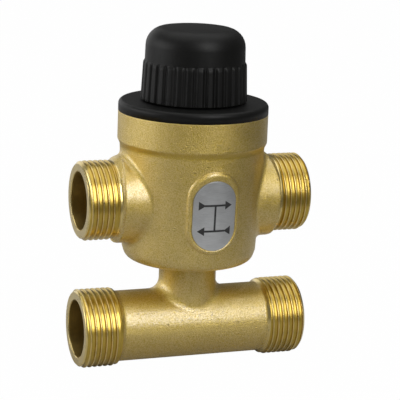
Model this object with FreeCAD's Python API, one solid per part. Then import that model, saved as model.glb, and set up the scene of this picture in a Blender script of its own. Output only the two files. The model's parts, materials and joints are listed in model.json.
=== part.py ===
import FreeCAD, Part
import math
import os
from FreeCAD import Vector

# Four-way mixing valve with pipe threads, all sizes in millimetres.
# The origin is where the axis of the upper run (X) meets the stem axis (Z).
# The label faces -Y, and the valve is drawn with its cap screwed down.

# Runs and ports
RUN_HALF = 39.0
RUN_DROP = 44.0
BORE_R = 9.5
THREAD_R = 13.22
END_CHAMFER = 1.0
UPPER_THREAD_START = 28.4
RELIEF_R = 12.95
RELIEF_START = 27.6
BOSS_END = 25.8
BOSS_END_R = 14.5
BOSS_ROOT_R = 15.6
BOSS_ROUND = 2.2
LOWER_THREAD_START = 26.3
LOWER_SHOULDER = 25.0
PIPE_R = 11.9
NECK_R = 9.7
NECK_BORE_R = 7.0
NECK_ROUND = 4.0

# Body
BODY_TOP = 29.0
COLLAR_R = 25.0
COLLAR_BOTTOM = 19.4
COLLAR_ROUND = 1.5
WAIST = 17.9
WAIST_R = 24.2
WAIST_ROUND = 2.5
FOOT_EDGE = -17.2
FOOT_R = 22.6
BODY_BOTTOM = -21.0
BOTTOM_R = 21.4
FOOT_ROUND = 3.0

# Label pad and plate
PAD_WIDTH = 18.2
PAD_HEIGHT = 28.4
PAD_CENTRE = -0.7
PAD_RISE = 0.9
PAD_ROUND = 1.5
PAD_ROOT = -18.0
PLATE_WIDTH = 14.7
PLATE_HEIGHT = 23.4
PLATE_CENTRE = -1.35
PLATE_THICKNESS = 0.35
RECESS_DEPTH = 0.4
RECESS_GAP = 0.15

# Chambers
TOP_BORE_R = 21.0
LEDGE = 18.5
UPPER_CHAMBER_R = 17.5
UPPER_CHAMBER_FLOOR = 12.0
CAGE_HOLE_R = 13.0
CAGE_WALL_R = 15.5
WEB_TOP = 1.5
WEB_BOTTOM = -1.0
LOWER_CHAMBER_R = 18.0
LOWER_CHAMBER_FLOOR = -16.5
LOWER_WALL_R = 20.5
INLET_R = 20.5
INLET_ANGLE = 100.0
SEAT_LIP = -14.0
SEAT_LIP_R = 9.0

# Motion
STROKE = 5.5

# Bonnet
FLANGE_R = 25.0
FLANGE_TOP = 32.5
FLANGE_ROUND = 1.4
SKIRT_R = 20.9
SKIRT_BOTTOM = 20.5
BONNET_NECK_R = 14.7
BONNET_NECK_TOP = 45.5
POCKET_R = 10.5
POCKET_FLOOR = 31.5

# Gland bush
GLAND_R = 7.5
GLAND_FLANGE_R = 9.6
GLAND_TOP = 33.5

# Seat cage
CAGE_R = 12.9
CAGE_BORE_R = 10.6
UPPER_SEAT_R = 9.0
UPPER_SEAT_TOP = 2.0
WINDOW_BOTTOM = 12.2
WINDOW_TOP = 18.0
WINDOW_COUNT = 4
WINDOW_ANGLE = 62.0

# Stem and plug
STEM_R = 3.0
STEM_TIP = 46.5
STEM_END_R = 2.5
STEM_END = -20.0
STEM_CHAMFER = 0.5
COLLAR_STEM_R = 7.0
COLLAR_STEM_HEIGHT = 1.5
PLUG_R = 11.0
PLUG_HEIGHT = 7.0
PLUG_SEAL = 1.5
PLUG_HUB_R = 5.2
WASHER_R = 6.4
WASHER_HEIGHT = 1.0
NUT_FLATS = 8.0
NUT_HEIGHT = 4.0

# Return spring with its retainer and clip
WIRE_R = 0.6
COIL_R = 7.4
COIL_TURNS = 4
COIL_STEPS = 12
RETAINER_BOTTOM = 42.5
RETAINER_HEIGHT = 1.5
RETAINER_R = 9.0
CLIP_HEIGHT = 0.8
CLIP_R = 5.0
CLIP_GROOVE_R = 2.3
CLIP_GAP = 3.2

# Manual cap
CAP_BOTTOM = 33.0
CAP_TOP = 57.22
CAP_LIP = 0.9
CAP_RIM_R = 17.7
CAP_RIB_TOP = 45.0
CAP_RIB_TOP_R = 17.2
CAP_STEP = 46.0
CAP_STEP_R = 16.65
CAP_SHOULDER_R = 16.4
CAP_ROUND = 6.2
CAP_DOME = 0.7
CAP_BORE_R = 15.0
CAP_BORE_TOP = 47.5
CAP_HOLLOW_R = 13.2
CAP_CEILING = 54.2
CAP_BOSS_R = 4.0
GROOVE_COUNT = 32
GROOVE_PHASE = 3.2
GROOVE_SPREAD = 1.7
GROOVE_DEPTH = 0.6
GROOVE_END_DEPTH = 0.15

# Seal rings, each with the inner and outer radius, bottom and height of its groove
RING_GAP = 0.05
BONNET_RING = (19.2, TOP_BORE_R, 23.0, 2.2)
CAGE_RING = (11.6, CAGE_HOLE_R, 5.0, 1.8)
GLAND_RING = (6.2, GLAND_R, 22.5, 1.8)
STEM_RING_LOWER = (STEM_R, 5.0, 25.2, 2.0)
STEM_RING_UPPER = (STEM_R, 5.0, 28.2, 2.0)

# How far a cutting shape runs past the face it cuts
CUT_PAST = 1.0

AXIS_X = Vector(1, 0, 0)
AXIS_Z = Vector(0, 0, 1)
ORIGIN = Vector(0, 0, 0)


def profile(corners):
    """Face in the XZ plane from (x, z) corners; a third number rounds its corner."""
    points = [Vector(corner[0], 0, corner[1]) for corner in corners]
    edges = []
    joints = []
    for index, corner in enumerate(corners):
        point = points[index]
        if len(corner) == 2:
            joints.append((point, point))
            continue
        before = (points[index - 1] - point).normalize()
        after = (points[(index + 1) % len(points)] - point).normalize()
        half = before.getAngle(after) / 2
        first = point + before * (corner[2] / math.tan(half))
        last = point + after * (corner[2] / math.tan(half))
        inward = (before + after).normalize()
        middle = point + inward * (corner[2] / math.sin(half) - corner[2])
        edges.append(Part.Arc(first, middle, last).toShape())
        joints.append((first, last))
    for index, (first, last) in enumerate(joints):
        start = joints[index - 1][1]
        if start.distanceToPoint(first) > 1e-6:
            edges.append(Part.LineSegment(start, first).toShape())
    return Part.Face(Part.Wire(Part.__sortEdges__(edges)))


def turned(corners):
    """Solid of revolution about Z from (radius, height) corners."""
    return profile(corners).revolve(ORIGIN, AXIS_Z, 360)


def turned_run(corners, height=0.0):
    """Solid of revolution about an X axis at a height, from (x, radius) corners."""
    run = profile(corners).revolve(ORIGIN, AXIS_X, 360)
    run.translate(Vector(0, 0, height))
    return run


def disc(radius, bottom, top):
    return Part.makeCylinder(radius, top - bottom, Vector(0, 0, bottom), AXIS_Z)


def ring(inner, outer, bottom, top):
    return disc(outer, bottom, top).cut(disc(inner, bottom, top))


def sector(inner, outer, bottom, top, middle, angle):
    """Part of a ring, spread evenly about the direction given in degrees."""
    corners = [(inner, bottom), (outer, bottom), (outer, top), (inner, top)]
    block = profile(corners).revolve(ORIGIN, AXIS_Z, angle)
    block.rotate(ORIGIN, AXIS_Z, middle - angle / 2)
    return block


def stadium(width, height, middle):
    """Upright stadium that runs forward through the front wall of the body."""
    half = width / 2
    straight = height / 2 - half
    low = middle - straight
    high = middle + straight
    back = PAD_ROOT
    edges = [
        Part.LineSegment(Vector(-half, back, low), Vector(-half, back, high)).toShape(),
        Part.Arc(Vector(-half, back, high), Vector(0, back, high + half), Vector(half, back, high)).toShape(),
        Part.LineSegment(Vector(half, back, high), Vector(half, back, low)).toShape(),
        Part.Arc(Vector(half, back, low), Vector(0, back, low - half), Vector(-half, back, low)).toShape(),
    ]
    return Part.Face(Part.Wire(edges)).extrude(Vector(0, -COLLAR_R - CUT_PAST - back, 0))


def wall_cone(rise):
    """The tapered wall of the body as a solid, grown outwards by the rise."""
    return Part.makeCone(FOOT_R + rise, WAIST_R + rise, WAIST - FOOT_EDGE, Vector(0, 0, FOOT_EDGE), AXIS_Z)


def edges_where(shape, test):
    """Edges whose middle point passes the test."""
    found = []
    for edge in shape.Edges:
        middle = edge.valueAt((edge.FirstParameter + edge.LastParameter) / 2)
        if test(middle):
            found.append(edge)
    return found


def upper_run():
    """The upper run's two threaded ends, with their relief and tapered boss."""
    half = [
        (0, 0),
        (0, BOSS_ROOT_R),
        (BOSS_END, BOSS_END_R),
        (RELIEF_START, RELIEF_R),
        (UPPER_THREAD_START, RELIEF_R),
        (UPPER_THREAD_START + THREAD_R - RELIEF_R, THREAD_R),
        (RUN_HALF - END_CHAMFER, THREAD_R),
        (RUN_HALF, THREAD_R - END_CHAMFER),
        (RUN_HALF, 0),
    ]
    right = turned_run(half)
    return right, right.mirror(ORIGIN, AXIS_X)


def lower_run():
    """The straight lower run, plain in the middle and threaded at both ends."""
    right = [
        (LOWER_SHOULDER, PIPE_R),
        (LOWER_THREAD_START, THREAD_R),
        (RUN_HALF - END_CHAMFER, THREAD_R),
        (RUN_HALF, THREAD_R - END_CHAMFER),
        (RUN_HALF, 0),
    ]
    left = [(-x, radius) for x, radius in reversed(right)]
    return turned_run(left + right, -RUN_DROP)


def body_casting():
    """Outside of the casting, with its blends and the label pad."""
    shell = turned([
        (0, BODY_TOP),
        (COLLAR_R, BODY_TOP),
        (COLLAR_R, COLLAR_BOTTOM, COLLAR_ROUND),
        (WAIST_R, WAIST, WAIST_ROUND),
        (FOOT_R, FOOT_EDGE),
        (BOTTOM_R, BODY_BOTTOM, FOOT_ROUND),
        (0, BODY_BOTTOM),
    ])
    neck = disc(NECK_R, -RUN_DROP, LOWER_CHAMBER_FLOOR)
    right, left = upper_run()
    casting = shell.multiFuse([neck, right, left, lower_run()]).removeSplitter()

    def at_neck(point):
        across = math.hypot(point.x, point.y)
        along = math.hypot(point.y, point.z + RUN_DROP)
        return abs(across - NECK_R) < 0.1 and abs(along - PIPE_R) < 0.1

    def at_boss(point):
        across = math.hypot(point.x, point.y)
        along = math.hypot(point.y, point.z)
        return FOOT_R - 0.5 < across < WAIST_R + 0.5 and BOSS_END_R < along < BOSS_ROOT_R

    casting = casting.makeFillet(NECK_ROUND, edges_where(casting, at_neck))
    casting = casting.makeFillet(BOSS_ROUND, edges_where(casting, at_boss))
    pad = stadium(PAD_WIDTH, PAD_HEIGHT, PAD_CENTRE).common(wall_cone(PAD_RISE))
    rim = edges_where(pad, lambda point: math.hypot(point.x, point.y) > FOOT_R)
    return casting.fuse(pad.makeFillet(PAD_ROUND, rim))


def body_cavities():
    """Everything taken out of the casting: the two chambers, the bores and the label recess."""
    upper_wall = disc(CAGE_WALL_R, WEB_BOTTOM, UPPER_CHAMBER_FLOOR)
    lower_wall = disc(LOWER_WALL_R, LOWER_CHAMBER_FLOOR, WEB_TOP)
    left_bore = Part.makeCylinder(BORE_R, RUN_HALF, ORIGIN, AXIS_X * -1).cut(lower_wall.fuse(upper_wall))
    right_bore = Part.makeCylinder(BORE_R, RUN_HALF, ORIGIN, AXIS_X).cut(upper_wall)
    seat_lip = ring(NECK_BORE_R, SEAT_LIP_R, LOWER_CHAMBER_FLOOR, SEAT_LIP)
    recess = stadium(PLATE_WIDTH + 2 * RECESS_GAP, PLATE_HEIGHT + 2 * RECESS_GAP, PLATE_CENTRE)
    recess = recess.cut(wall_cone(PAD_RISE - RECESS_DEPTH))
    return [
        disc(TOP_BORE_R, LEDGE, BODY_TOP),
        disc(UPPER_CHAMBER_R, UPPER_CHAMBER_FLOOR, LEDGE),
        disc(CAGE_HOLE_R, WEB_BOTTOM, UPPER_CHAMBER_FLOOR),
        disc(LOWER_CHAMBER_R, LOWER_CHAMBER_FLOOR, WEB_BOTTOM).cut(seat_lip),
        disc(NECK_BORE_R, -RUN_DROP, LOWER_CHAMBER_FLOOR),
        sector(CAGE_WALL_R, INLET_R, WEB_TOP, LEDGE, 180, INLET_ANGLE),
        left_bore,
        right_bore,
        Part.makeCylinder(BORE_R, 2 * RUN_HALF, Vector(-RUN_HALF, 0, -RUN_DROP), AXIS_X),
        recess,
    ]


def valve_body():
    return body_casting().cut(body_cavities())


def label_plate():
    """Thin plate bent to the wall, on the floor of its recess."""
    back = PAD_RISE - RECESS_DEPTH
    plate = stadium(PLATE_WIDTH, PLATE_HEIGHT, PLATE_CENTRE).common(wall_cone(back + PLATE_THICKNESS))
    return plate.cut(wall_cone(back))


def ring_groove(spec):
    inner, outer, bottom, height = spec
    return ring(inner, outer + CUT_PAST, bottom, bottom + height)


def seal_ring(spec):
    """A ring of round rubber, pressed flat where its groove holds it."""
    inner, outer, bottom, height = spec
    low = bottom + RING_GAP
    high = bottom + height - RING_GAP
    near = inner + RING_GAP
    far = outer - RING_GAP
    corner = (far - near) / 4
    return turned([
        (near, low + corner),
        (near + corner, low),
        (far - corner, low),
        (far, low + corner),
        (far, high - corner),
        (far - corner, high),
        (near + corner, high),
        (near, high - corner),
    ])


def bonnet():
    """Moulded flange with the skirt below it and the hollow neck above."""
    shape = turned([
        (GLAND_R + RING_GAP, SKIRT_BOTTOM),
        (SKIRT_R, SKIRT_BOTTOM),
        (SKIRT_R, BODY_TOP),
        (FLANGE_R, BODY_TOP),
        (FLANGE_R, FLANGE_TOP, FLANGE_ROUND),
        (BONNET_NECK_R, FLANGE_TOP),
        (BONNET_NECK_R, BONNET_NECK_TOP - END_CHAMFER),
        (BONNET_NECK_R - END_CHAMFER, BONNET_NECK_TOP),
        (POCKET_R, BONNET_NECK_TOP),
        (POCKET_R, POCKET_FLOOR),
        (GLAND_R + RING_GAP, POCKET_FLOOR),
    ])
    return shape.cut(ring_groove(BONNET_RING))


def gland_bush():
    """Bush that guides the stem, with its flange in the bottom of the bonnet's pocket."""
    shape = turned([
        (STEM_R + RING_GAP, SKIRT_BOTTOM),
        (GLAND_R, SKIRT_BOTTOM),
        (GLAND_R, POCKET_FLOOR),
        (GLAND_FLANGE_R, POCKET_FLOOR),
        (GLAND_FLANGE_R, GLAND_TOP),
        (STEM_R + RING_GAP, GLAND_TOP),
    ])
    grooves = [ring_groove(GLAND_RING)]
    for inner, outer, bottom, height in (STEM_RING_LOWER, STEM_RING_UPPER):
        grooves.append(disc(outer, bottom, bottom + height))
    return shape.cut(grooves)


def seat_cage():
    """Loose seat: flange under the bonnet, windowed wall and the rim that the plug closes."""
    seat_rim = SEAT_LIP + PLUG_HEIGHT + STROKE
    shape = turned([
        (UPPER_SEAT_R, seat_rim),
        (CAGE_R, seat_rim),
        (CAGE_R, LEDGE),
        (SKIRT_R, LEDGE),
        (SKIRT_R, SKIRT_BOTTOM),
        (CAGE_BORE_R, SKIRT_BOTTOM),
        (CAGE_BORE_R, UPPER_SEAT_TOP),
        (UPPER_SEAT_R, UPPER_SEAT_TOP),
    ])
    cuts = [ring_groove(CAGE_RING)]
    for index in range(WINDOW_COUNT):
        direction = index * 360 / WINDOW_COUNT
        cuts.append(sector(UPPER_SEAT_R, CAGE_WALL_R, WINDOW_BOTTOM, WINDOW_TOP, direction, WINDOW_ANGLE))
    return shape.cut(cuts)


def stem():
    """Turned stem with the collar above the plug and the clip groove near its tip."""
    collar = SEAT_LIP + PLUG_HEIGHT
    groove = RETAINER_BOTTOM + RETAINER_HEIGHT
    return turned([
        (0, STEM_END),
        (STEM_END_R - STEM_CHAMFER, STEM_END),
        (STEM_END_R, STEM_END + STEM_CHAMFER),
        (STEM_END_R, collar),
        (COLLAR_STEM_R, collar),
        (COLLAR_STEM_R, collar + COLLAR_STEM_HEIGHT),
        (STEM_R, collar + COLLAR_STEM_HEIGHT),
        (STEM_R, groove),
        (CLIP_GROOVE_R, groove),
        (CLIP_GROOVE_R, groove + CLIP_HEIGHT),
        (STEM_R, groove + CLIP_HEIGHT),
        (STEM_R, STEM_TIP - STEM_CHAMFER),
        (STEM_R - STEM_CHAMFER, STEM_TIP),
        (0, STEM_TIP),
    ])


def plug():
    """Disc between the two seats, stepped to hold a seal above and below."""
    bottom = SEAT_LIP
    top = SEAT_LIP + PLUG_HEIGHT
    return turned([
        (STEM_END_R + RING_GAP, bottom),
        (PLUG_HUB_R, bottom),
        (PLUG_HUB_R, bottom + PLUG_SEAL),
        (PLUG_R, bottom + PLUG_SEAL),
        (PLUG_R, top - PLUG_SEAL),
        (PLUG_HUB_R, top - PLUG_SEAL),
        (PLUG_HUB_R, top),
        (STEM_END_R + RING_GAP, top),
    ])


def plug_seal(bottom):
    return ring(PLUG_HUB_R + RING_GAP, PLUG_R, bottom, bottom + PLUG_SEAL)


def plug_washer():
    return ring(STEM_END_R + RING_GAP, WASHER_R, SEAT_LIP - WASHER_HEIGHT, SEAT_LIP)


def plug_nut():
    """Hexagon nut under the washer."""
    top = SEAT_LIP - WASHER_HEIGHT
    corner_r = NUT_FLATS / math.sqrt(3)
    corners = []
    for index in range(7):
        turn = math.radians(60 * index)
        corners.append(Vector(corner_r * math.cos(turn), corner_r * math.sin(turn), top - NUT_HEIGHT))
    block = Part.Face(Part.makePolygon(corners)).extrude(Vector(0, 0, NUT_HEIGHT))
    return block.cut(disc(STEM_END_R + RING_GAP, top - NUT_HEIGHT, top))


def return_spring():
    """Coil between the gland bush and the retainer, in straight mitred lengths of round wire."""
    low = GLAND_TOP + WIRE_R
    rise = RETAINER_BOTTOM - WIRE_R - low
    count = COIL_TURNS * COIL_STEPS
    points = []
    for index in range(count + 1):
        turn = 2 * math.pi * index / COIL_STEPS
        points.append(Vector(COIL_R * math.cos(turn), COIL_R * math.sin(turn), low + rise * index / count))
    start = Part.Wire(Part.makeCircle(WIRE_R, points[0], points[1] - points[0]))
    return Part.makePolygon(points).makePipeShell([start], True, False, 1)


def spring_retainer():
    return ring(STEM_R + RING_GAP, RETAINER_R, RETAINER_BOTTOM, RETAINER_BOTTOM + RETAINER_HEIGHT)


def spring_clip():
    """Open ring in the stem's groove."""
    bottom = RETAINER_BOTTOM + RETAINER_HEIGHT
    clip = ring(CLIP_GROOVE_R + RING_GAP, CLIP_R, bottom, bottom + CLIP_HEIGHT)
    mouth = Part.makeBox(CLIP_R, CLIP_GAP, CLIP_HEIGHT, Vector(0, -CLIP_GAP / 2, bottom))
    return clip.cut(mouth)


def cap_grooves():
    """The upright vee grooves between the ribs of the cap, shallow at the top."""
    outside = CAP_RIM_R + CUT_PAST
    ends = []
    for floor, height in (
        (CAP_RIM_R - GROOVE_DEPTH, CAP_BOTTOM + CAP_LIP),
        (CAP_STEP_R - GROOVE_END_DEPTH, CAP_STEP),
    ):
        half = GROOVE_SPREAD * (outside - floor)
        corners = [Vector(floor, 0, height), Vector(outside, half, height), Vector(outside, -half, height)]
        ends.append(Part.makePolygon(corners + corners[:1]))
    groove = Part.makeLoft(ends, True, True)
    grooves = []
    for index in range(GROOVE_COUNT):
        copy = groove.copy()
        copy.rotate(ORIGIN, AXIS_Z, GROOVE_PHASE + index * 360 / GROOVE_COUNT)
        grooves.append(copy)
    return grooves


def manual_cap():
    """Moulded cap: ribbed skirt, rounded crown, and the boss inside that pushes the stem."""
    shape = turned([
        (CAP_BORE_R, CAP_BOTTOM),
        (CAP_RIM_R, CAP_BOTTOM),
        (CAP_RIB_TOP_R, CAP_RIB_TOP),
        (CAP_STEP_R, CAP_STEP),
        (CAP_SHOULDER_R, CAP_TOP - CAP_DOME, CAP_ROUND),
        (0, CAP_TOP),
        (0, STEM_TIP),
        (CAP_BOSS_R, STEM_TIP),
        (CAP_BOSS_R, CAP_CEILING),
        (CAP_HOLLOW_R, CAP_CEILING),
        (CAP_HOLLOW_R, CAP_BORE_TOP),
        (CAP_BORE_R, CAP_BORE_TOP),
    ])
    return shape.cut(cap_grooves())


PIECES = {
    "valve_body": valve_body(),
    "label_plate": label_plate(),
    "bonnet": bonnet(),
    "bonnet_o_ring": seal_ring(BONNET_RING),
    "seat_cage": seat_cage(),
    "seat_cage_o_ring": seal_ring(CAGE_RING),
    "gland_bush": gland_bush(),
    "gland_o_ring": seal_ring(GLAND_RING),
    "stem_o_ring_lower": seal_ring(STEM_RING_LOWER),
    "stem_o_ring_upper": seal_ring(STEM_RING_UPPER),
    "stem": stem(),
    "plug": plug(),
    "lower_plug_seal": plug_seal(SEAT_LIP),
    "upper_plug_seal": plug_seal(SEAT_LIP + PLUG_HEIGHT - PLUG_SEAL),
    "plug_washer": plug_washer(),
    "plug_nut": plug_nut(),
    "return_spring": return_spring(),
    "spring_retainer": spring_retainer(),
    "spring_clip": spring_clip(),
    "manual_cap": manual_cap(),
}

os.makedirs("parts", exist_ok=True)
for name, shape in PIECES.items():
    shape.exportStep("parts/" + name + ".step")
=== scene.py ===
import json
import math

import bmesh
import bpy
from bpy.props import FloatProperty, FloatVectorProperty, IntProperty, PointerProperty
from mathutils import Matrix, Vector


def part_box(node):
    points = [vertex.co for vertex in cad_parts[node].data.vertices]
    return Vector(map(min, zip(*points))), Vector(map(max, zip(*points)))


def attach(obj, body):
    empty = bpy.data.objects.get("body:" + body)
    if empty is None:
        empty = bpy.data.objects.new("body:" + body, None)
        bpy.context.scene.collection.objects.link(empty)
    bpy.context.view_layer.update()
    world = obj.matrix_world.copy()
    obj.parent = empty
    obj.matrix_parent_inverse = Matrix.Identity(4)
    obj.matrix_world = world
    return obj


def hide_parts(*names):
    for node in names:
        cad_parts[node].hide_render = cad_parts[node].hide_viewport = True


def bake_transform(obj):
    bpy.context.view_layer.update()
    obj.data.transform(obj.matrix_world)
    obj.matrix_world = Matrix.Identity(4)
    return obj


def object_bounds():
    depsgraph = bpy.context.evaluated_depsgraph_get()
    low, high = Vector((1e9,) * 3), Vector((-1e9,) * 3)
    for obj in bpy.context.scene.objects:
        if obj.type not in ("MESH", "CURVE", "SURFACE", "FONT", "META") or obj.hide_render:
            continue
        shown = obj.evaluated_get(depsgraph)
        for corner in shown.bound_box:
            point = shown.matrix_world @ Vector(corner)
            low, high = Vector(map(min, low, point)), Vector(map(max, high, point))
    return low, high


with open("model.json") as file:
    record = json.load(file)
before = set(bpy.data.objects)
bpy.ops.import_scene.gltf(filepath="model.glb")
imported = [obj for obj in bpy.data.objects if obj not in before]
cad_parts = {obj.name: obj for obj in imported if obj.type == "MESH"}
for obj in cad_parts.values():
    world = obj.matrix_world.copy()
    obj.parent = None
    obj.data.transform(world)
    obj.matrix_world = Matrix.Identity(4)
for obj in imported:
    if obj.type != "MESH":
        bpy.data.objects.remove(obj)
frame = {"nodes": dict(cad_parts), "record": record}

bl_info = {
    "name": "Four-way mixing valve",
    "version": (1, 0, 0),
    "blender": (4, 5, 0),
    "location": "View3D > Sidebar > Valve",
    "description": "Brass mixing valve with threaded ports and a black hand cap, built on its solid parts",
    "category": "Mesh",
}

# Sizes are in metres. Boxes and axes come from the solid parts, so that each piece sits where its part is.
CAD_BOX = [list(corner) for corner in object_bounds()]
BODY_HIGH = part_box("valve_body")[1]
BONNET_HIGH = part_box("bonnet")[1]
CAP_LOW, CAP_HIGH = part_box("manual_cap")
PLATE_LOW, PLATE_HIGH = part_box("label_plate")
SPRING_LOW, SPRING_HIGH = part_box("return_spring")
MOUNTS = {mount["name"]: mount for mount in frame["record"]["mounts"]}
LOWER_AXIS = MOUNTS["right_lower_port"]["pos_m"][2]
THREAD_RADIUS = MOUNTS["right_lower_port"]["dims"]["r_mm"] / 1000
BETWEEN_RUNS = LOWER_AXIS / 2

# Vertices within the weld are one, and a cut runs through a vertex that is within the slack.
WELD = 0.000002
CUT_SLACK = WELD / 10
SHARP_ANGLE = math.radians(32)

# Steps round a turn of a thread, round a corner, across a broken edge and along a thread's end bevel.
THREAD_STEPS = 128
ROUND_STEPS = 8
EDGE_STEPS = 4
CHAMFER_STEPS = 4

# A threaded end joins what lies within this many crest radii of its axis.
END_REACH = 1.6
UP_FROM_X = Matrix.Rotation(-math.pi / 2, 4, "Y")

# One pitch of a thread: share of the pitch along the axis, and share of the depth below the crest.
THREAD_FORM = (
    (0.05, 0.00), (0.09, 0.05), (0.12, 0.18), (0.19, 0.74), (0.23, 0.94), (0.29, 1.00),
    (0.71, 1.00), (0.77, 0.94), (0.81, 0.74), (0.88, 0.18), (0.91, 0.05), (0.95, 0.00),
)

# The thread valleys and the bores get darker colours as painted shade.
CASTING_FINISHES = ("cast_brass", "machined_brass", "bored_brass", "thread_valleys")
CAST, MACHINED, BORED, VALLEY = range(len(CASTING_FINISHES))


def length(name, description, default):
    """A size in metres that a user may change."""
    return FloatProperty(name=name, description=description, default=default, unit="LENGTH", precision=5)


def angle(name, description, degrees):
    """An angle that a user may change."""
    return FloatProperty(name=name, description=description, default=math.radians(degrees), unit="ROTATION")


def share(name, description, default):
    """A share from 0 to 1 that a user may change."""
    return FloatProperty(name=name, description=description, default=default, subtype="FACTOR",
                         min=0.0, max=1.0)


def watts(name, description, default):
    """The power of a light, which a user may change."""
    return FloatProperty(name=name, description=description, default=default, unit="POWER", min=0.0)


def colour(name, description, default):
    """A linear colour that a user may change."""
    return FloatVectorProperty(name=name, description=description, default=default, subtype="COLOR",
                               min=0.0, max=1.0)


class ValvePorts(bpy.types.PropertyGroup):
    """Threaded ends of the two runs."""

    pitch: length("Pitch", "Distance from crest to crest of the pipe thread", 0.001814)
    depth: length("Depth", "Height of the crests over the valleys", 0.00062)
    # Above this share of the depth the thread keeps the machined colour; below it the valleys carry painted
    # shade.
    crest_share: share("Crest share", "Share of the depth that is rubbed bright", 0.25)
    chamfer: length("End chamfer", "Length of the bevel that starts the thread", 0.001)
    run_out: length("Run-out", "Length over which the thread dies away", 0.0011)
    bore: length("Bore radius", "Radius of the water way", 0.0095)
    mouth: length("Mouth bevel", "Bevel at the edge of the bore", 0.0004)
    relief: length("Relief radius", "Radius of the plain neck behind an upper thread", 0.01295)
    boss_end: length("Boss end", "Where the end of a boss of the upper run slopes in", 0.0258)
    boss_edge: length("Boss edge", "Where the edge of a boss stands, close to the thread", 0.0270)
    boss_flank: share("Boss flank", "Share of its radius below its top where a boss nears the thread", 0.5)
    boss_round: length("Boss rounding", "How far the edge of a boss is rounded", 0.0005)
    collar_break: length("Collar edge", "How far the top edge of the collar is broken", 0.0004)
    upper_crest: length("Upper crest", "Where a crest of an upper end passes its top", 0.0328)
    upper_cut: length("Upper relief start", "Where the plain neck of an upper end begins", 0.028)
    upper_start: length("Upper thread start", "Where the thread of an upper end begins", 0.0284)
    upper_shoulder: length("Upper shoulder", "Where the machined shoulder of an upper end begins", 0.0276)
    lower_crest: length("Lower crest", "Where a crest of a lower end passes its top", 0.0324)
    lower_pipe: length("Lower pipe radius", "Radius of the cast pipe of the lower run", 0.0119)
    lower_root: length("Lower root radius", "Radius where the thread of a lower end dies away", 0.01285)
    lower_cut: length("Lower pipe end", "Where the cast pipe of the lower run ends", 0.0245)
    lower_start: length("Lower thread start", "Where the thread of a lower end begins", 0.0263)
    lower_shoulder: length("Lower shoulder", "Where the machined shoulder of a lower end begins", 0.0257)


class ValveNeck(bpy.types.PropertyGroup):
    """Fine thread on the neck of the bonnet, under the cap."""

    pitch: length("Pitch", "Distance from crest to crest of the fine thread", 0.0015)
    depth: length("Depth", "Height of the crests over the valleys", 0.0008)
    crest: length("Crest radius", "Outside radius of the fine thread", 0.0147)
    chamfer: length("End chamfer", "Length of the bevel at the top of the neck", 0.001)
    run_out: length("Run-out", "Length over which the thread dies away", 0.0012)
    pocket: length("Pocket radius", "Radius of the hollow in the neck", 0.0105)
    mouth: length("Mouth bevel", "Bevel at the edge of the hollow", 0.0003)
    cut: length("Plain foot", "Height where the plain foot of the neck ends", 0.0336)
    start: length("Thread start", "Height where the fine thread begins", 0.0346)
    first_crest: length("First crest", "Height where the lowest full crest passes the back", 0.0362)


class ValveCap(bpy.types.PropertyGroup):
    """Hand cap with its ribs."""

    ribs: IntProperty(name="Ribs", description="Number of ribs round the skirt", default=32, min=3)
    phase: angle("First groove", "Angle of the first groove from the right port", 3.2)
    groove_width: length("Groove width", "Width of a groove from rib to rib", 0.0021)
    groove_floor: length("Groove floor", "Width of the floor of a groove", 0.0001)
    groove_depth: length("Groove depth", "Depth of a groove at the foot of the skirt", 0.0006)
    groove_end_depth: length("Groove end depth", "Depth of a groove at its upper end", 0.00015)
    foot_round: length("Foot rounding", "Radius of the rounded edges of the foot", 0.000225)
    rib_top: length("Rib height", "Height of the ribs over the foot of the cap", 0.012)
    rib_top_radius: length("Rib top radius", "Radius of the skirt where the ribs start to slope in", 0.0172)
    step: length("Step height", "Height where the ribs end", 0.013)
    step_radius: length("Step radius", "Radius where the ribs end", 0.01665)
    shoulder_radius: length("Shoulder radius", "Radius of the crown below its rounded edge", 0.0164)
    crown_round: length("Crown rounding", "Radius of the rounded edge of the crown", 0.0062)
    dome: length("Dome", "Rise of the top of the crown", 0.0007)
    bore: length("Bore radius", "Inside radius of the skirt", 0.015)
    bore_top: length("Bore height", "Height of the skirt's bore", 0.0145)
    hollow: length("Hollow radius", "Inside radius of the crown", 0.0132)
    ceiling: length("Ceiling height", "Height of the inside of the crown", 0.0212)
    boss: length("Boss radius", "Radius of the boss that pushes the stem", 0.004)
    boss_foot: length("Boss foot", "Height of the lower end of the boss", 0.0135)


class ValveSmallParts(bpy.types.PropertyGroup):
    """Label plate and return spring."""

    plate_bevel: length("Plate bevel", "Bevel round the front of the label plate", 0.00012)
    plate_thickness: length("Plate thickness", "Thickness of the label plate", 0.00035)
    wall_taper: share("Wall taper", "Growth of the wall's radius for each metre of height", 0.04558)
    wire: length("Wire radius", "Radius of the spring wire", 0.0006)
    turns: IntProperty(name="Turns", description="Number of turns of the spring", default=4, min=1)


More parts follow.
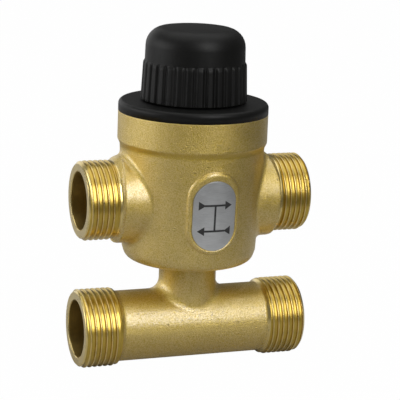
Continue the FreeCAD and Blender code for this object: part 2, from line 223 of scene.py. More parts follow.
class ValveFinishes(bpy.types.PropertyGroup):
    """Colours of the finishes."""

    # The light cast colour is also the painted highlight on the collar's top edge, and the dark one the
    # painted shade in the waist.
    cast_light: colour("Cast brass, light", "Rubbed skin of the casting", (0.82, 0.605, 0.148))
    cast_dark: colour("Cast brass, dark", "Hollows in the skin of the casting", (0.58, 0.41, 0.062))
    machined: colour("Machined brass", "Threads, shoulders and end faces", (0.86, 0.67, 0.255))
    # Painted shade: the valley colour is darker, more orange brass between the crests, standing in for the
    # shade there.
    valley: colour("Thread valleys", "Stained brass between the crests of the threads", (0.62, 0.43, 0.06))
    # Painted shade: the bored colour is darker than the machined brass, standing in for the shade inside the
    # bores.
    bored: colour("Bored brass", "Water ways", (0.46, 0.33, 0.10))
    turned: colour("Turned brass", "Loose seat, bush and plug", (0.72, 0.56, 0.24))
    plastic: colour("Black plastic", "Cap and bonnet", (0.0038, 0.0038, 0.0033))
    plate: colour("Label metal", "Satin metal of the label", (0.60, 0.61, 0.615))
    ink: colour("Label ink", "Dark print on the label", (0.03, 0.03, 0.03))
    steel: colour("Steel", "Stem, spring and fasteners", (0.56, 0.56, 0.55))
    rubber: colour("Seal rubber", "Rings and plug seals", (0.025, 0.025, 0.025))


class ValveStage(bpy.types.PropertyGroup):
    """Floor, light and camera."""

    floor: colour("Floor", "Colour of the floor", (0.50, 0.50, 0.50))
    floor_radius: length("Floor radius", "Radius of the floor", 1.2)
    floor_reach: length("Floor reach", "How far the floor reaches in front of the valve", 0.26)
    floor_aside: length("Floor aside", "How far the middle of the floor lies to the left of the valve", 0.54)
    lift: share("Backdrop", "Share of plain white that the camera sees behind the valve", 0.99)
    mirror_lift: share("Mirrored backdrop", "Share of plain white that the metal mirrors", 0.02)
    surround: share("Surround", "Level of the light from all round", 0.11)
    front_light: watts("Front light", "Power of the soft light at the front right", 4.4)
    side_light: watts("Side light", "Power of the soft light at the left", 3.4)
    top_light: watts("Top light", "Power of the soft light overhead", 4.3)
    back_light: watts("Back light", "Power of the soft light low down behind the left ports", 1.0)
    light_distance: length("Light distance", "Distance of each soft light from the valve", 0.9)
    yaw: angle("Yaw", "Turn of the camera about the stem axis", -20.524)
    pitch: angle("Pitch", "Height of the camera as an angle", 13.365)
    roll: angle("Roll", "Tilt of the camera about its own axis", 2.188)
    distance: length("Distance", "Distance of the camera", 0.57476)
    sideways: length("Sideways", "Shift of the camera to its right", 0.00337)
    upwards: length("Upwards", "Shift of the camera to its top", -0.001376)
    lens: FloatProperty(name="Lens", description="Focal length on a 36 mm sensor", default=153.77,
                        unit="CAMERA")


class ValveSettings(bpy.types.PropertyGroup):
    """All sizes and colours of the valve."""

    ports: PointerProperty(type=ValvePorts)
    neck: PointerProperty(type=ValveNeck)
    cap: PointerProperty(type=ValveCap)
    small: PointerProperty(type=ValveSmallParts)
    finishes: PointerProperty(type=ValveFinishes)
    stage: PointerProperty(type=ValveStage)


class Wire:
    """A shader socket that takes part in Python expressions."""

    def __init__(self, tree, socket=None):
        self.tree = tree
        self.socket = socket

    def fill(self, socket, value):
        """Links a wire to a socket, or sets a plain value on it."""
        if isinstance(value, Wire):
            self.tree.links.new(value.socket, socket)
        else:
            socket.default_value = value

    def node(self, kind, settings=None, sockets=None, output=0):
        """Adds a node, sets it up, fills its sockets and hands back one of its outputs."""
        node = self.tree.nodes.new(kind)
        for name, value in (settings or {}).items():
            setattr(node, name, value)
        for key, value in (sockets or {}).items():
            self.fill(node.inputs[key], value)
        return None if output is None else Wire(self.tree, node.outputs[output])

    def other(self, output):
        """Another output of the same node."""
        return Wire(self.tree, self.socket.node.outputs[output])

    def sums(self, operation, *terms):
        """A Math node on plain values and wires."""
        return self.node("ShaderNodeMath", {"operation": operation}, dict(enumerate(terms)))

    def __add__(self, term):
        return self.sums("ADD", self, term)

    __radd__ = __add__

    def __sub__(self, term):
        return self.sums("SUBTRACT", self, term)

    def __rsub__(self, term):
        return self.sums("SUBTRACT", term, self)

    def __mul__(self, term):
        return self.sums("MULTIPLY", self, term)

    __rmul__ = __mul__

    def __abs__(self):
        return self.sums("ABSOLUTE", self)

    def most(self, term):
        """The larger of two values."""
        return self.sums("MAXIMUM", self, term)

    def rise(self, low, high):
        """0 below low, 1 above high, and a smooth step between them."""
        sockets = {"Value": self, "From Min": low, "From Max": high}
        return self.node("ShaderNodeMapRange", {"interpolation_type": "SMOOTHSTEP"}, sockets)

    def between(self, at_zero, at_one):
        """The colour that goes from the first at 0 to the second at 1."""
        return self.node("ShaderNodeMix", {"data_type": "RGBA"}, {0: self, 6: at_zero, 7: at_one}, 2)

    def along(self, axis):
        """One coordinate of a point."""
        return self.node("ShaderNodeSeparateXYZ", None, {0: self}, axis)

    def stretched(self, factors):
        """The same point with its three coordinates scaled."""
        return self.node("ShaderNodeVectorMath", {"operation": "MULTIPLY"}, {0: self, 1: factors})

    def noise(self, size, detail=2.0, roughness=0.5):
        """Cloudy values with marks of about that size, read at this point."""
        sockets = {"Vector": self, "Scale": 1 / size, "Detail": detail, "Roughness": roughness}
        return self.node("ShaderNodeTexNoise", None, sockets)

    def specks(self, size):
        """Distance to the nearest of many scattered points, as a share of their spacing."""
        return self.node("ShaderNodeTexVoronoi", None, {"Vector": self, "Scale": 1 / size}, "Distance")

    def bump(self, depth, strength=1.0):
        """The surface's normal, tilted by this height."""
        sockets = {"Height": self, "Distance": depth, "Strength": strength}
        return self.node("ShaderNodeBump", None, sockets)


def opaque(tint, level=1.0):
    """A colour with its alpha, made lighter or darker by a level."""
    return (*(level * part for part in tint), 1.0)


def new_finish(name, dress):
    """A material whose shader is filled by the sockets that dress works out from a surface point."""
    material = bpy.data.materials.new(name)
    material.use_nodes = True
    tree = material.node_tree
    point = Wire(tree).node("ShaderNodeTexCoord", output="Object")
    for socket, value in dress(point).items():
        point.fill(tree.nodes["Principled BSDF"].inputs[socket], value)
    return material


def cast_brass(tints):
    """Sand-cast skin: fine grain, clouds, stains and a few pits, with painted shade in the waist under the
    collar and a painted highlight on the collar's top edge.
    """
    grain_size, cloud_size, stain_size = 0.00036, 0.0055, 0.011
    pit_spacing, pitted_patch = 0.0016, 0.004
    # Painted shade: heights of a darker band round the waist under the collar.
    waist_shade_foot, waist_shade_top = (0.0166, 0.0176), (0.0187, 0.0198)
    # Painted highlight: above these heights the collar's top edge takes the lightest cast colour.
    collar_edge_highlight = (0.02855, 0.0287)
    skin_height = 0.00022

    def dress(point):
        grain = point.noise(grain_size, roughness=0.62)
        clouds = point.noise(cloud_size, detail=3.0, roughness=0.55)
        stains = point.noise(stain_size, detail=3.0, roughness=0.6).rise(0.52, 0.72)
        pitted = point.noise(pitted_patch, detail=1.0).rise(0.56, 0.66)
        pits = pitted * (1 - point.specks(pit_spacing).rise(0.10, 0.24))
        up = point.along("Z")
        # Painted shade round the waist under the collar.
        waist_shade = up.rise(*waist_shade_foot) * (1 - up.rise(*waist_shade_top))
        tone = (0.7 * grain + 0.3 * clouds).rise(0.28, 0.68) * (1 - 0.7 * pits) * (1 - 0.45 * stains)
        # Darkens the waist with painted shade and lights the collar's top edge with a painted highlight.
        tone = (tone * (1 - 0.8 * waist_shade)).most(up.rise(*collar_edge_highlight))
        return {
            "Base Color": tone.between(opaque(tints.cast_dark), opaque(tints.cast_light)),
            "Metallic": 1.0,
            "Roughness": 0.35 + 0.14 * grain + 0.2 * pits,
            # The coat is thinner under the waist's painted shade.
            "Coat Weight": grain.rise(0.28, 0.62) * (1 - 0.7 * waist_shade),
            "Coat Roughness": 0.33,
            "Coat IOR": 2.4,
            "Normal": (grain - 0.9 * pits).bump(skin_height),
        }
    return new_finish("Cast brass", dress)


def turned_metal(name, tint, roughness, along, sheen=0.0):
    """Lathe-turned metal with fine lines square to the given axis, and a pale sheen where one is given."""
    line_size, line_depth, smear_size = 0.0003, 0.000006, 0.004
    draw_out = tuple(1.0 if axis == along else 0.03 for axis in "XYZ")
    dark, light = opaque(tint, 0.84), opaque(tint, 1.08)

    def dress(point):
        lines = point.stretched(draw_out).noise(line_size, roughness=0.6)
        smears = point.noise(smear_size)
        tone = (0.5 * lines + 0.5 * smears).rise(0.25, 0.75)
        return {
            "Base Color": tone.between(dark, light),
            "Metallic": 1.0,
            "Roughness": roughness + 0.06 * lines + 0.06 * smears,
            "Coat Weight": sheen,
            "Coat Roughness": 0.24,
            "Coat IOR": 1.7,
            "Normal": lines.bump(line_depth, 0.6),
        }
    return new_finish(name, dress)


def black_plastic(tints):
    """Moulded plastic with a fine spark-eroded texture and faint rub marks."""
    texture_size, texture_height, rub_size = 0.00028, 0.00004, 0.007
    dark, light = opaque(tints.plastic, 0.75), opaque(tints.plastic, 1.35)

    def dress(point):
        texture = point.noise(texture_size, roughness=0.6)
        rubs = point.noise(rub_size, detail=3.0, roughness=0.55)
        return {
            "Base Color": (0.4 * texture + 0.6 * rubs).rise(0.30, 0.72).between(dark, light),
            "Roughness": 0.39 + 0.08 * texture + 0.08 * rubs,
            "Specular IOR Level": 0.26,
            "Normal": texture.bump(texture_height, 0.6),
        }
    return new_finish("Black plastic", dress)


def seal_rubber(tints):
    """Smooth dull rubber with a dusty bloom."""
    bloom_size, skin_size, skin_height = 0.0022, 0.0003, 0.00001
    dark, light = opaque(tints.rubber, 0.8), opaque(tints.rubber, 1.7)

    def dress(point):
        bloom = point.noise(bloom_size, detail=3.0, roughness=0.6)
        return {
            "Base Color": bloom.rise(0.35, 0.75).between(dark, light),
            "Roughness": 0.55 + 0.2 * bloom,
            "Normal": point.noise(skin_size).bump(skin_height, 0.5),
        }
    return new_finish("Seal rubber", dress)


def printed_plate(tints):
    """Satin label metal with a plain flow diagram in dark ink, and painted light that makes the metal lighter
    towards the bottom.
    """
    centre = (PLATE_LOW + PLATE_HIGH) / 2
    upper_line, lower_line = 0.0036, -0.0050
    half_length, half_width, soft = 0.0036, 0.00034, 0.00005
    outlet_tip, inlet_tip = 0.0058, 0.0032
    arrow_length, arrow_slope = 0.0024, 0.62
    brush_size, brush_depth, haze_size = 0.00025, 0.000008, 0.005
    draw_out = (0.04, 1.0, 1.0)
    # The dark and light plate colours are blended by the grain and by the painted light towards the bottom.
    dark, light = opaque(tints.plate, 0.82), opaque(tints.plate, 1.24)

    def dress(point):
        u = point.along("X") - centre.x
        w = point.along("Z") - centre.z

        def bar(middle_u, middle_w, half_u, half_w):
            """A filled rectangle of ink."""
            inside_u = (half_u - abs(u - middle_u)).rise(-soft, soft)
            return inside_u * (half_w - abs(w - middle_w)).rise(-soft, soft)

        def arrow(tip_u, middle_w, way):
            """A filled arrow head that points along the plate's width."""
            back = way * (tip_u - u)
            inside = (arrow_slope * back - abs(w - middle_w)).rise(-soft, soft)
            return inside * (arrow_length - back).rise(-soft, soft)

        ink = bar(0, upper_line, half_length, half_width).most(bar(0, lower_line, half_length, half_width))
        ink = ink.most(bar(0, (upper_line + lower_line) / 2, half_width, (upper_line - lower_line) / 2))
        for line, way in ((upper_line, 1), (lower_line, -1)):
            for tip in (way * outlet_tip, -way * inlet_tip):
                ink = ink.most(arrow(tip, line, way))
        brushed = point.stretched(draw_out).noise(brush_size, roughness=0.6)
        haze = point.noise(haze_size)
        # Painted light: the plate grows lighter towards its bottom.
        painted_light_downward = 1 - w.rise(PLATE_LOW.z - centre.z, PLATE_HIGH.z - centre.z)
        metal = 0.5 * (0.5 * brushed + 0.5 * haze).rise(0.3, 0.7) + 0.5 * painted_light_downward
        return {
            "Base Color": ink.between(metal.between(dark, light), opaque(tints.ink)),
            "Metallic": 0.85 * (1 - ink),
            "Roughness": 0.38 + 0.10 * brushed + 0.06 * haze,
            "Normal": brushed.bump(brush_depth, 0.5),
        }
    return new_finish("Printed plate", dress)


FINISH_MAKERS = {
    "cast_brass": cast_brass,
    "machined_brass": lambda tints: turned_metal("Machined brass", tints.machined, 0.22, "X", sheen=0.5),
    # Thread valleys: darker brass as painted shade between the crests.
    "thread_valleys": lambda tints: turned_metal("Thread valleys", tints.valley, 0.26, "X", sheen=0.5),
    # Bored brass: darker as painted shade inside the bores, and rougher.
    "bored_brass": lambda tints: turned_metal("Bored brass", tints.bored, 0.42, "X"),
    "turned_brass": lambda tints: turned_metal("Turned brass", tints.turned, 0.24, "Z"),
    "steel": lambda tints: turned_metal("Turned steel", tints.steel, 0.22, "Z"),
    "black_plastic": black_plastic,
    "seal_rubber": seal_rubber,
    "label": printed_plate,
}
FINISHES = {}


def finish(name):
    """The material of that name, made on first use."""
    if name not in FINISHES:
        FINISHES[name] = FINISH_MAKERS[name](bpy.context.scene.valve.finishes)
    return FINISHES[name]


def smooth_step(low, high, value):
    """0 below low, 1 above high, and a smooth step between them."""
    step = min(max((value - low) / (high - low), 0.0), 1.0)
    return step * step * (3 - 2 * step)


def merged_copy(node):
    """The mesh of a solid part with its loose triangles joined up."""
    bm = bmesh.new()
    bm.from_mesh(frame["nodes"][node].data)
    bmesh.ops.remove_doubles(bm, verts=bm.verts, dist=WELD)
    return bm


def rounded(corners):
    """Points along and out from an axis, where a third number rounds a corner by that radius."""
    points = []
    for index, corner in enumerate(corners):
        here = Vector(corner[:2])
        if len(corner) == 2:
            points.append(here)
            continue
        back = (Vector(corners[index - 1][:2]) - here).normalized()
        ahead = (Vector(corners[index + 1][:2]) - here).normalized()
        half = back.angle(ahead) / 2
        centre = here + (back + ahead).normalized() * (corner[2] / math.sin(half))
        start = here + back * (corner[2] / math.tan(half)) - centre
        end = here + ahead * (corner[2] / math.tan(half)) - centre
        turn = math.atan2(start.cross(end), start.dot(end))
        for step in range(ROUND_STEPS + 1):
            points.append(centre + Matrix.Rotation(turn * step / ROUND_STEPS, 2) @ start)
    return points


def row_of(bm, points):
    """Vertices on one side of the X axis, joined in a row by edges."""
    row = [bm.verts.new((along, 0, radius)) for along, radius in points]
    return row, [bm.edges.new(pair) for pair in zip(row, row[1:])]


def thread_sleeve(start, end, crest, thread, crest_place):
    """An open tube along X whose wall is a right-handed thread, with a crest at a place on its top."""
    bm = bmesh.new()
    pitch, spare_turns = thread.pitch, 2
    first = start - spare_turns * pitch + (crest_place - start) % pitch
    turns = range(math.ceil((end - start) / pitch) + spare_turns)
    points = [(first + (turn + along) * pitch, crest - drop * thread.depth)
              for turn in turns for along, drop in THREAD_FORM]
    row, edges = row_of(bm, points)
    bmesh.ops.spin(bm, geom=row + edges, cent=(0, 0, 0), axis=(1, 0, 0), angle=2 * math.pi,
                   steps=THREAD_STEPS, dvec=(pitch / THREAD_STEPS, 0, 0))
    bmesh.ops.remove_doubles(bm, verts=bm.verts, dist=WELD)
    for place, way in ((start, -1), (end, 1)):
        cut_across(bm, bm.faces, place, way)
    return bm


def cut_across(bm, faces, place, way=0):
    """Cuts faces square to the X axis at a place, and takes off what lies past it where a way is given."""
    geometry = set(faces)
    for face in list(geometry):
        geometry.update(face.edges, face.verts)
    bmesh.ops.bisect_plane(bm, geom=list(geometry), dist=CUT_SLACK, plane_co=(place, 0, 0),
                           plane_no=(way or 1, 0, 0), clear_outer=way != 0)


def reach(vertex):
    """Distance of a vertex from the X axis."""
    return math.hypot(vertex.co.y, vertex.co.z)


def set_reach(vertex, radius):
    """Moves a vertex straight out or in to a distance from the X axis."""
    vertex.co.yz *= radius / reach(vertex)


def open_edges(bm, low, high, inner, outer):
    """Edges of open rims within a stretch of the X axis and a range of radii."""
    def within(vertex):
        return low - WELD < vertex.co.x < high + WELD and inner < reach(vertex) < outer

    return [edge for edge in bm.edges if edge.is_boundary and all(within(vertex) for vertex in edge.verts)]


def draw_ring(bm, rim, along, radius):
    """Draws an open rim out to a ring round the X axis, and hands back its new edges."""
    drawn = bmesh.ops.extrude_edge_only(bm, edges=rim)["geom"]
    for vertex in drawn:
        if isinstance(vertex, bmesh.types.BMVert):
            vertex.co.x = along
            set_reach(vertex, radius)
    return [edge for edge in drawn if isinstance(edge, bmesh.types.BMEdge)]


def threaded_end(start, end, crest, thread, crest_place, root, bore):
    """A threaded end along X: run-out, thread, bevel, end face and the mouth of its bore."""
    bm = thread_sleeve(start, end, crest, thread, crest_place)
    for step in range(CHAMFER_STEPS):
        cut_across(bm, bm.faces, end - thread.chamfer * (1 - step / CHAMFER_STEPS))
    for vertex in bm.verts:
        grown = smooth_step(start, start + thread.run_out, vertex.co.x)
        bevel = crest - max(0.0, vertex.co.x - end + thread.chamfer)
        set_reach(vertex, min(root + grown * (reach(vertex) - root), bevel))
    rim = open_edges(bm, end, end, 0, crest)
    rim = draw_ring(bm, rim, end, bore + thread.mouth)
    draw_ring(bm, rim, end - thread.mouth, bore)
    return bm


def fit_threaded_end(bm, place, thread, cut, start, end, crest, crest_place, root, bore, shoulder=None):
    """Takes off the plain end of a solid past a cut and closes a threaded end on to it.

    Lengths are along the end's own axis, which place lays on X. A shoulder is where it begins and its radius.
    """
    bmesh.ops.transform(bm, matrix=place.inverted(), verts=bm.verts)
    nearby = END_REACH * crest
    past = [face for face in bm.faces if max(vertex.co.x for vertex in face.verts) > cut
            and all(reach(vertex) < nearby for vertex in face.verts)]
    cut_across(bm, past, cut, 1)
    joined = threaded_end(start, end, crest, thread, crest_place, root, bore)
    if shoulder:
        draw_ring(joined, open_edges(joined, start, start, 0, nearby), *shoulder)
    mesh = bpy.data.meshes.new("Threaded end")
    joined.to_mesh(mesh)
    joined.free()
    bm.from_mesh(mesh)
    bpy.data.meshes.remove(mesh)
    split = (bore + root) / 2
    bmesh.ops.bridge_loops(bm, edges=open_edges(bm, cut, start, split, nearby))
    bmesh.ops.bridge_loops(bm, edges=open_edges(bm, cut, end, 0, split))
    bmesh.ops.transform(bm, matrix=place, verts=bm.verts)


def add_piece(bm, name, finishes, slot, *nodes):
    """A smooth-shaded object that stands for solid parts."""
    bmesh.ops.recalc_face_normals(bm, faces=bm.faces)
    for face in bm.faces:
        face.smooth = True
    mesh = bpy.data.meshes.new(name)
    bm.to_mesh(mesh)
    bm.free()
    for each in finishes:
        mesh.materials.append(finish(each))
    mesh.set_sharp_from_angle(angle=SHARP_ANGLE)
    piece = bpy.data.objects.new(name, mesh)
    bpy.context.scene.collection.objects.link(piece)
    piece.modifiers.new("Even shading", "WEIGHTED_NORMAL").keep_sharp = True
    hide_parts(*nodes)
    return piece


class VALVE_OT_casting(bpy.types.Operator):
    """Cast body with its four threaded ends"""

    bl_idname = "valve.casting"
    bl_label = "Casting"

    def execute(self, context):
        ports = context.scene.valve.ports
        bm = merged_copy("valve_body")
        self.round_edges(bm, ports)
        for turn in (0, math.pi):
            upper = Matrix.Rotation(turn, 4, "Z")
            fit_threaded_end(
                bm, upper, ports, cut=ports.upper_cut, start=ports.upper_start, end=BODY_HIGH.x,
                crest=THREAD_RADIUS, crest_place=ports.upper_crest, root=ports.relief, bore=ports.bore,
            )
            lower = Matrix.Translation((0, 0, LOWER_AXIS)) @ upper
            fit_threaded_end(
                bm, lower, ports, cut=ports.lower_cut, start=ports.lower_start, end=BODY_HIGH.x,
                crest=THREAD_RADIUS, crest_place=ports.lower_crest, root=ports.lower_root, bore=ports.bore,
                shoulder=(ports.lower_shoulder, ports.lower_pipe),
            )
        for face in bm.faces:
            face.material_index = self.finish_at(face.calc_center_median(), ports)
        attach(add_piece(bm, "casting", CASTING_FINISHES, "cast_brass", "valve_body"), "valve")
        return {"FINISHED"}

    def round_edges(self, bm, ports):
        """Draws the edges of the bosses towards the threads, rounds them and breaks the collar's top edge."""
        def at_boss(vertex):
            return abs(abs(vertex.co.x) - ports.boss_end) < WELD and vertex.co.z > BETWEEN_RUNS

        def at_collar(vertex):
            return abs(vertex.co.z - BODY_HIGH.z) < WELD and abs(vertex.co.xy.length - BODY_HIGH.y) < WELD

        rims = [(offset, [edge for edge in bm.edges if all(test(vertex) for vertex in edge.verts)])
                for test, offset in ((at_boss, ports.boss_round), (at_collar, ports.collar_break))]
        for vertex in bm.verts:
            if at_boss(vertex):
                below_top = 1 - vertex.co.z / vertex.co.yz.length
                fullness = smooth_step(0, ports.boss_flank, below_top)
                along = ports.boss_end + fullness * (ports.boss_edge - ports.boss_end)
                vertex.co.x = math.copysign(along, vertex.co.x)
        for offset, edges in rims:
            bmesh.ops.bevel(bm, geom=edges, offset=offset, affect="EDGES", segments=EDGE_STEPS, profile=0.5,
                            material=-1)

    def finish_at(self, point, ports):
        """Which finish the casting has at a point of its skin."""
        along, end = abs(point.x), BODY_HIGH.x
        axis, shoulder, start = LOWER_AXIS, ports.lower_shoulder, ports.lower_start
        if point.z > BETWEEN_RUNS:
            axis, shoulder, start = 0.0, ports.upper_shoulder, ports.upper_start
        radius = math.hypot(point.y, point.z - axis)
        crest = THREAD_RADIUS - max(0.0, along - end + ports.chamfer)
        unshaded = crest - ports.crest_share * ports.depth
        # Inside the bores the darker bored colour is painted shade.
        if radius < ports.bore + WELD:
            return BORED
        # Below the crests the thread takes the valley colour, which is painted shade.
        if start < along < end - WELD and ports.bore + ports.mouth < radius < unshaded:
            return VALLEY
        return MACHINED if along > shoulder else CAST


class VALVE_OT_bonnet(bpy.types.Operator):
    """Moulded bonnet with the fine thread on its neck"""

    bl_idname = "valve.bonnet"
    bl_label = "Bonnet"

    def execute(self, context):
        neck = context.scene.valve.neck
        bm = merged_copy("bonnet")
        fit_threaded_end(
            bm, UP_FROM_X, neck, cut=neck.cut, start=neck.start, end=BONNET_HIGH.z,
            crest=neck.crest, crest_place=neck.first_crest, root=neck.crest, bore=neck.pocket,
        )
        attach(add_piece(bm, "threaded_bonnet", ("black_plastic",), "black_plastic", "bonnet"), "valve")
        return {"FINISHED"}


class VALVE_OT_cap(bpy.types.Operator):
    """Ribbed hand cap, hollow inside"""

    bl_idname = "valve.cap"
    bl_label = "Cap"

    STEPS_PER_RIB = 16
    SKIRT_ROWS = 16
    CROWN_SHARES = (0.5, 0.25, 0.0)

    def execute(self, context):
        cap = context.scene.valve.cap
        bm = bmesh.new()
        row, edges = row_of(bm, rounded(self.section(cap)))
        bmesh.ops.spin(bm, geom=row + edges, cent=(0, 0, 0), axis=(1, 0, 0), angle=2 * math.pi,
                       steps=cap.ribs * self.STEPS_PER_RIB, use_merge=True)
        bmesh.ops.remove_doubles(bm, verts=bm.verts, dist=WELD)
        bmesh.ops.transform(bm, matrix=Matrix.Rotation(cap.phase, 4, "Z") @ UP_FROM_X, verts=bm.verts)
        self.press_grooves(bm, cap)
        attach(add_piece(bm, "ribbed_cap", ("black_plastic",), "black_plastic", "manual_cap"), "cap")
        return {"FINISHED"}

    def section(self, cap):
        """The cap's outline beside its axis, from the middle of its boss round to the middle of its top."""
        foot, top = CAP_LOW.z, CAP_HIGH.z
        skirt_foot = Vector((foot + 2 * cap.foot_round, CAP_HIGH.x))
        rib_top = Vector((foot + cap.rib_top, cap.rib_top_radius))
        step_edge = Vector((foot + cap.step, cap.step_radius))
        skirt = [skirt_foot.lerp(rib_top, row / self.SKIRT_ROWS) for row in range(self.SKIRT_ROWS)]
        slope = [rib_top.lerp(step_edge, row / ROUND_STEPS) for row in range(ROUND_STEPS)]
        crown = [(top - cap.dome * out * out, out * cap.shoulder_radius) for out in self.CROWN_SHARES]
        return [
            (foot + cap.boss_foot, 0), (foot + cap.boss_foot, cap.boss),
            (foot + cap.ceiling, cap.boss), (foot + cap.ceiling, cap.hollow),
            (foot + cap.bore_top, cap.hollow), (foot + cap.bore_top, cap.bore),
            (foot, cap.bore, cap.foot_round), (foot, CAP_HIGH.x, cap.foot_round),
            *skirt, *slope, step_edge, (top - cap.dome, cap.shoulder_radius, cap.crown_round), *crown,
        ]

    def press_grooves(self, bm, cap):
        """Presses the upright grooves into the skirt, so that ribs stand between them."""
        low, high = CAP_LOW.z - WELD, CAP_LOW.z + cap.step
        foot_floor = CAP_HIGH.x - cap.groove_depth
        end_floor = cap.step_radius - cap.groove_end_depth
        spacing = 2 * math.pi / cap.ribs
        for vertex in bm.verts:
            radius = vertex.co.xy.length
            if not low < vertex.co.z < high or radius < (cap.bore + end_floor) / 2:
                continue
            floor = foot_floor + (vertex.co.z - low) / (high - low) * (end_floor - foot_floor)
            turn = math.atan2(vertex.co.y, vertex.co.x) - cap.phase
            aside = abs((turn + spacing / 2) % spacing - spacing / 2) * radius
            pressed = 1 - smooth_step(cap.groove_floor / 2, cap.groove_width / 2, aside)
            vertex.co.xy *= 1 - pressed * max(0.0, radius - floor) / radius


class VALVE_OT_label(bpy.types.Operator):
    """Satin label plate with rounded ends"""

    bl_idname = "valve.label"
    bl_label = "Label"

    RIM_EDGES = 98
    STRIPS = 40
    BEVEL_STEPS = 3

    def execute(self, context):
        small = context.scene.valve.small
        centre = (PLATE_LOW + PLATE_HIGH) / 2
        half_width = (PLATE_HIGH.x - PLATE_LOW.x) / 2
        straight = (PLATE_HIGH.z - PLATE_LOW.z) / 2 - half_width
        bm = bmesh.new()
        bmesh.ops.create_circle(bm, cap_ends=True, segments=self.RIM_EDGES, radius=half_width)
        for vertex in bm.verts:
            vertex.co.y += math.copysign(straight, vertex.co.y)
        place = Matrix.Translation((centre.x, small.plate_thickness, centre.z))
        bmesh.ops.transform(bm, matrix=place @ Matrix.Rotation(math.pi / 2, 4, "X"), verts=bm.verts)
        drawn = bmesh.ops.extrude_face_region(bm, geom=bm.faces[:])["geom"]
        front = [part for part in drawn if isinstance(part, bmesh.types.BMVert)]
        bmesh.ops.translate(bm, vec=(0, -small.plate_thickness, 0), verts=front)
        rim = [part for part in drawn if isinstance(part, bmesh.types.BMEdge)]
        bmesh.ops.bevel(bm, geom=rim, offset=small.plate_bevel, affect="EDGES", segments=self.BEVEL_STEPS,
                        profile=0.5, material=-1)
        self.bend(bm, small, half_width)
        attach(add_piece(bm, "printed_plate", ("label",), "label", "label_plate"), "valve")
        return {"FINISHED"}

    def bend(self, bm, small, half_width):
        """Lays the flat plate round the tapered wall, with its front on the front of the solid plate."""
        for strip in range(1, self.STRIPS):
            cut_across(bm, bm.faces, half_width * (2 * strip / self.STRIPS - 1))
        for vertex in bm.verts:
            radius = -PLATE_LOW.y - small.wall_taper * (PLATE_HIGH.z - vertex.co.z)
            vertex.co.y -= math.sqrt(radius * radius - vertex.co.x * vertex.co.x)


class VALVE_OT_spring(bpy.types.Operator):
    """Coil spring"""

    bl_idname = "valve.spring"
    bl_label = "Spring"

    STEPS_PER_TURN = 48
    WIRE_EDGES = 14

    def execute(self, context):
        small = context.scene.valve.small
        bm = bmesh.new()
        bmesh.ops.create_circle(bm, segments=self.WIRE_EDGES, radius=small.wire)
        start = Matrix.Translation((SPRING_HIGH.x - small.wire, 0, SPRING_LOW.z + small.wire))
        bmesh.ops.transform(bm, matrix=start @ Matrix.Rotation(math.pi / 2, 4, "X"), verts=bm.verts)
        steps = small.turns * self.STEPS_PER_TURN
        rise = SPRING_HIGH.z - SPRING_LOW.z - 2 * small.wire
        bmesh.ops.spin(bm, geom=bm.verts[:] + bm.edges[:], cent=(0, 0, 0), axis=(0, 0, 1),
                       angle=2 * math.pi * small.turns, steps=steps, dvec=(0, 0, rise / steps))
        ends = [edge for edge in bm.edges if edge.is_boundary]
        bmesh.ops.holes_fill(bm, edges=ends, sides=self.WIRE_EDGES)
        spring = add_piece(bm, "coil_spring", ("steel",), "steel", "return_spring")
        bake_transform(spring)
        return {"FINISHED"}


class VALVE_OT_inner(bpy.types.Operator):
    """Finishes of the solid parts that show as they are"""

    bl_idname = "valve.inner"
    bl_label = "Inner parts"

    def execute(self, context):
        for part in frame["record"]["subparts"]:
            node = frame["nodes"][part["node"]]
            if node.hide_render:
                continue
            for slot in node.material_slots:
                slot.material = finish(part["material_slot"])
        return {"FINISHED"}


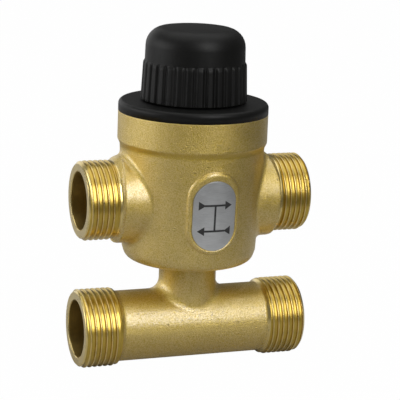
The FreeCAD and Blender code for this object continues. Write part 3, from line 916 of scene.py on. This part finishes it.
class VALVE_OT_stage(bpy.types.Operator):
    """Pale floor, soft lights and the camera"""

    bl_idname = "valve.stage"
    bl_label = "Stage"

    FLOOR_EDGES = 64

    # Each soft light's degrees round from the label towards the right port, degrees up, width and height.
    FRONT_LIGHT = (12, 32, 0.36, 0.72)
    SIDE_LIGHT = (-102, 16, 0.80, 0.52)
    TOP_LIGHT = (160, 80, 1.20, 1.00)
    BACK_LIGHT = (-164, 12, 0.80, 0.50)

    def execute(self, context):
        stage = context.scene.valve.stage
        context.scene.view_settings.view_transform = "Standard"
        self.add_floor(stage)
        self.add_surround(context.scene, stage)
        self.add_softbox("Front softbox", *self.FRONT_LIGHT, stage.front_light, stage.light_distance)
        self.add_softbox("Side softbox", *self.SIDE_LIGHT, stage.side_light, stage.light_distance)
        self.add_softbox("Top softbox", *self.TOP_LIGHT, stage.top_light, stage.light_distance)
        self.add_softbox("Back softbox", *self.BACK_LIGHT, stage.back_light, stage.light_distance)
        self.add_camera(context.scene, stage)
        return {"FINISHED"}

    def backdrop_share(self, wire, stage):
        """How much of plain white each kind of ray sees."""
        camera = wire.node("ShaderNodeLightPath", output="Is Camera Ray")
        through = camera.other("Is Transmission Ray")
        return stage.lift * (camera + through) + stage.mirror_lift * camera.other("Is Glossy Ray")

    def add_floor(self, stage):
        """A wide floor under the lower run, which keeps the shadow."""
        bm = bmesh.new()
        bmesh.ops.create_circle(bm, cap_ends=True, segments=self.FLOOR_EDGES, radius=stage.floor_radius)
        middle = (-stage.floor_aside, stage.floor_radius - stage.floor_reach, CAD_BOX[0][2])
        bmesh.ops.translate(bm, vec=middle, verts=bm.verts)
        mesh = bpy.data.meshes.new("floor")
        bm.to_mesh(mesh)
        bm.free()
        material = bpy.data.materials.new("Pale floor")
        material.use_nodes = True
        material.node_tree.nodes.clear()
        wire = Wire(material.node_tree)
        lit = wire.node("ShaderNodeBsdfDiffuse", None, {"Color": opaque(stage.floor)})
        white = wire.node("ShaderNodeEmission", None, {"Strength": 1.0})
        whiteness = self.backdrop_share(wire, stage)
        mixed = wire.node("ShaderNodeMixShader", None, {0: whiteness, 1: lit, 2: white})
        wire.node("ShaderNodeOutputMaterial", None, {"Surface": mixed}, None)
        mesh.materials.append(material)
        floor = bpy.data.objects.new("floor", mesh)
        bpy.context.scene.collection.objects.link(floor)

    def add_surround(self, scene, stage):
        """Even light from all round, white where the camera sees it."""
        world = bpy.data.worlds.new("Surround")
        world.use_nodes = True
        world.node_tree.nodes.clear()
        wire = Wire(world.node_tree)
        plain = opaque((1, 1, 1))
        dim = wire.node("ShaderNodeBackground", None, {"Color": plain, "Strength": stage.surround})
        white = wire.node("ShaderNodeBackground", None, {"Color": plain, "Strength": 1.0})
        whiteness = self.backdrop_share(wire, stage)
        mixed = wire.node("ShaderNodeMixShader", None, {0: whiteness, 1: dim, 2: white})
        wire.node("ShaderNodeOutputWorld", None, {"Surface": mixed}, None)
        scene.world = world

    def direction(self, around, above):
        """From the valve towards a place, turned from the label's side towards the right port and raised."""
        level = math.cos(above)
        return Vector((math.sin(around) * level, -math.cos(around) * level, math.sin(above)))

    def add_softbox(self, name, azimuth, elevation, width, height, power, distance):
        """A soft rectangular light that is aimed at the valve."""
        towards = self.direction(math.radians(azimuth), math.radians(elevation))
        light = bpy.data.lights.new(name, "AREA")
        light.shape = "RECTANGLE"
        light.size, light.size_y = width, height
        light.energy = power
        lamp = bpy.data.objects.new(name, light)
        aim = towards.to_track_quat("Z", "Y").to_matrix().to_4x4()
        lamp.matrix_world = Matrix.Translation(distance * towards) @ aim
        bpy.context.scene.collection.objects.link(lamp)

    def add_camera(self, scene, stage):
        """The camera, a little above the label and to its left."""
        back = self.direction(stage.yaw, stage.pitch)
        right = Vector((math.cos(stage.yaw), math.sin(stage.yaw), 0))
        up = back.cross(right)
        eye = stage.sideways * right + stage.upwards * up + stage.distance * back
        turned = Matrix((right, up, back)).transposed() @ Matrix.Rotation(stage.roll, 3, "Z")
        data = bpy.data.cameras.new("Camera")
        data.lens = stage.lens
        camera = bpy.data.objects.new("Camera", data)
        camera.matrix_world = Matrix.Translation(eye) @ turned.to_4x4()
        scene.collection.objects.link(camera)
        scene.camera = camera


class VALVE_PT_panel(bpy.types.Panel):
    """Lists the steps that build the valve"""

    bl_idname = "VALVE_PT_panel"
    bl_label = "Mixing valve"
    bl_space_type = "VIEW_3D"
    bl_region_type = "UI"
    bl_category = "Valve"

    def draw(self, context):
        for step in STEPS:
            self.layout.operator(step.bl_idname)


STEPS = (
    VALVE_OT_casting, VALVE_OT_bonnet, VALVE_OT_cap, VALVE_OT_label, VALVE_OT_spring, VALVE_OT_inner,
    VALVE_OT_stage,
)
CLASSES = (
    ValvePorts, ValveNeck, ValveCap, ValveSmallParts, ValveFinishes, ValveStage, ValveSettings,
    *STEPS, VALVE_PT_panel,
)


def register():
    """Makes the valve's settings, steps and panel known to Blender."""
    for each in CLASSES:
        bpy.utils.register_class(each)
    bpy.types.Scene.valve = PointerProperty(type=ValveSettings)


def unregister():
    """Takes the valve's settings, steps and panel out of Blender again."""
    del bpy.types.Scene.valve
    for each in reversed(CLASSES):
        bpy.utils.unregister_class(each)


def main():
    """Builds the valve on its stage."""
    register()
    bpy.ops.valve.casting()
    bpy.ops.valve.bonnet()
    bpy.ops.valve.cap()
    bpy.ops.valve.label()
    bpy.ops.valve.spring()
    bpy.ops.valve.inner()
    bpy.ops.valve.stage()


if __name__ == "__main__":
    main()
